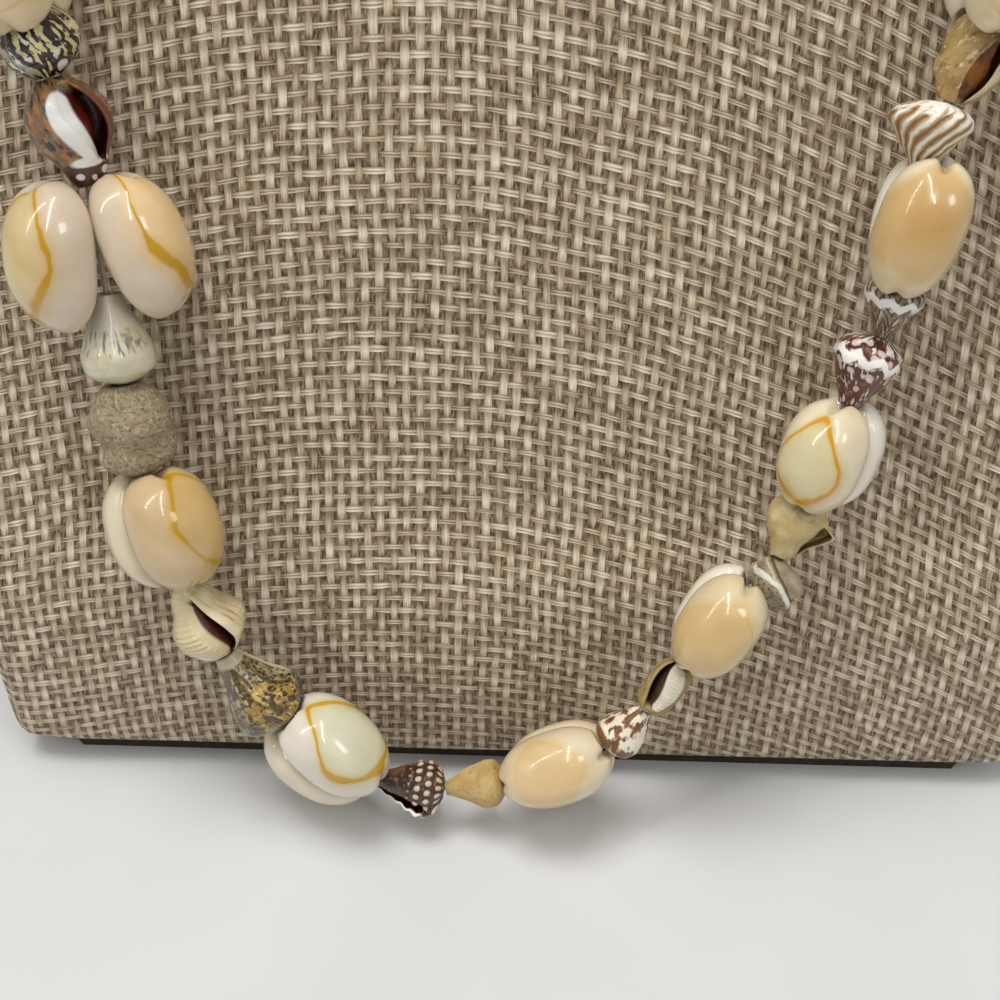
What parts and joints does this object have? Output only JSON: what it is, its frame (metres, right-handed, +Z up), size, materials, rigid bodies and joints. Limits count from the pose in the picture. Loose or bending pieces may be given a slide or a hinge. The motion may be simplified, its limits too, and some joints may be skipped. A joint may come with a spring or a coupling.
{
  "type": "cowrie shell necklace on display bust",
  "caption": "Necklace of paired cowrie shells and small snail shells on a nylon thread, round a fabric covered neck bust on a thin base plate.",
  "frame": {"origin": "middle of the base plate's underside, on the surface the bust stands on", "axes": "+Z up, chest towards -Y, the wearer's right side towards -X"},
  "size_m": [0.184, 0.1285, 0.206],
  "materials": {
    "cowrie": "gloss",
    "cowrie_pale": "gloss",
    "shell_dark": "satin",
    "shell_light": "satin",
    "shells_mixed": "gloss",
    "nylon": "gloss",
    "clasp": "polished",
    "burlap": "matte",
    "plate": "matte"
  },
  "bodies": {
    "root": {"cowrie_front_1": "cowrie", "cowrie_back_1": "cowrie_pale", "cowrie_front_2": "cowrie", "cowrie_back_2": "cowrie_pale", "cowrie_front_3": "cowrie", "cowrie_back_3": "cowrie_pale", "cowrie_front_4": "cowrie", "cowrie_back_4": "cowrie_pale", "cowrie_front_5": "cowrie", "cowrie_back_5": "cowrie_pale", "cowrie_front_6": "cowrie", "cowrie_back_6": "cowrie_pale", "cowrie_front_7": "cowrie", "cowrie_back_7": "cowrie_pale", "cowrie_front_8": "cowrie", "cowrie_back_8": "cowrie_pale", "cowrie_front_9": "cowrie", "cowrie_back_9": "cowrie_pale", "snail_shell_1": "shell_dark", "snail_shell_2": "shell_dark", "snail_shell_3": "shell_light", "snail_shell_4": "shell_light", "snail_shell_5": "shell_light", "snail_shell_6": "shell_dark", "snail_shell_7": "shell_dark", "snail_shell_8": "shell_light", "snail_shell_9": "shell_light", "snail_shell_10": "shell_light", "snail_shell_11": "shell_light", "snail_shell_12": "shell_light", "snail_shell_13": "shell_dark", "snail_shell_14": "shell_dark", "snail_shell_15": "shell_light", "snail_shell_16": "shell_light", "shells_behind_left": "shells_mixed", "shells_behind_right": "shells_mixed", "thread": "nylon", "barrel_clasp": "clasp", "bust_form": "burlap", "base_plate": "plate"}
  },
  "joints": []
}
